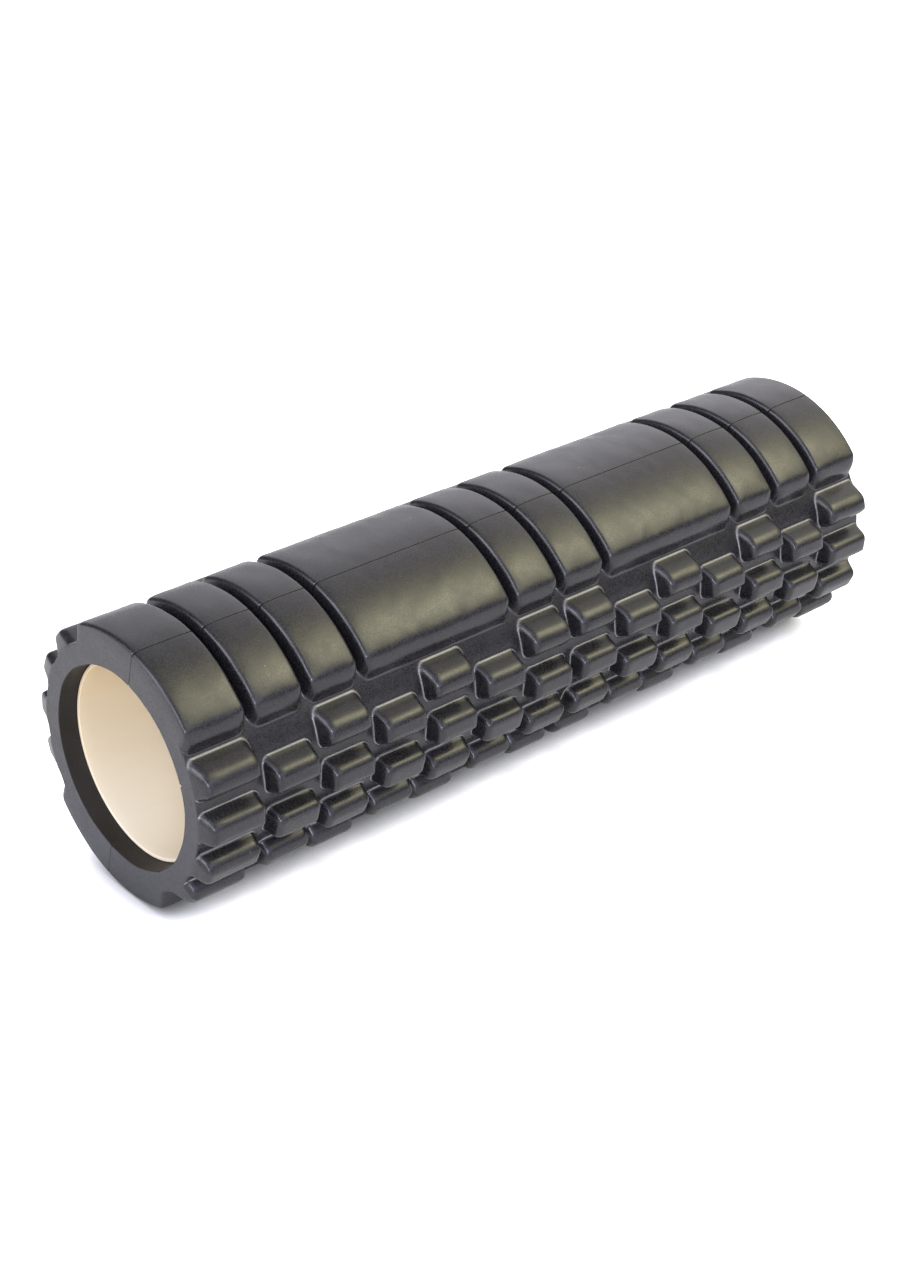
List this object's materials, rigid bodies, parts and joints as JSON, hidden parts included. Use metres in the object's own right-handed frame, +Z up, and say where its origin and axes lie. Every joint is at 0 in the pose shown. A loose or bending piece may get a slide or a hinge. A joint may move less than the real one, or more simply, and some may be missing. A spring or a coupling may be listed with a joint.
{
  "type": "foam roller",
  "caption": "Hollow foam roller: two moulded foam half shells with bands and blocks as tread, glued over a rigid inner tube, for rolling out muscles on the floor.",
  "frame": {"origin": "middle of the roller: on the tube's axis, halfway along the foam", "axes": "+X along the roller's axis; +Z up as it lies on the floor; one seam between the foam halves faces 105 degrees about X, measured from +Y towards +Z, and the other faces the opposite way"},
  "size_m": [0.45, 0.1398, 0.14],
  "materials": {
    "foam": "satin moulded closed-cell foam, black",
    "tube": "smooth extruded plastic, cream"
  },
  "bodies": {
    "root": {"core_tube": "tube", "foam_half_front": "foam", "foam_half_rear": "foam"}
  },
  "joints": []
}
